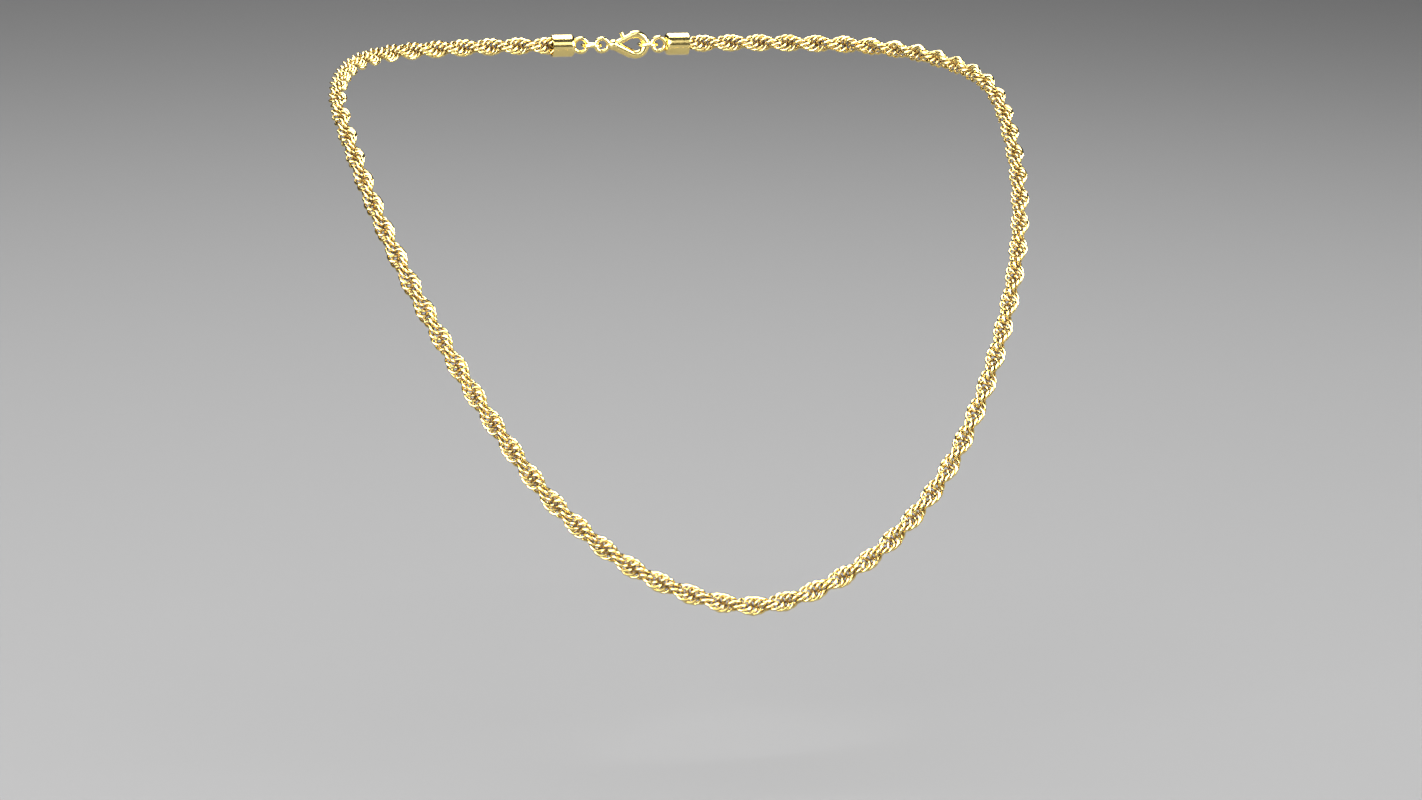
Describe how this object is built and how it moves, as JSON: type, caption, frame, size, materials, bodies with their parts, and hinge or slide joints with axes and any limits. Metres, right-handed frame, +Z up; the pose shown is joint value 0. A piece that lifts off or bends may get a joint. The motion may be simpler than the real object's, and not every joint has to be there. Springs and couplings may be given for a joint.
{
  "type": "rope chain necklace",
  "caption": "Closed necklace of fine round-wire links twisted into a rope, with end caps, jump rings and a lobster clasp at the nape.",
  "frame": {"origin": "middle of the closed clasp row at the nape, on the rope's middle line", "axes": "+X across the neck to the wearer's left, +Y to the back, +Z up; the front of the loop is at -Y"},
  "size_m": [0.1486, 0.1255, 0.1042],
  "materials": {
    "gold": "polished yellow gold"
  },
  "bodies": {
    "root": {"rope_chain": "gold", "end_cap_left": "gold", "end_cap_right": "gold", "jump_ring_left": "gold", "jump_ring_right": "gold", "lobster_clasp": "gold"}
  },
  "joints": []
}
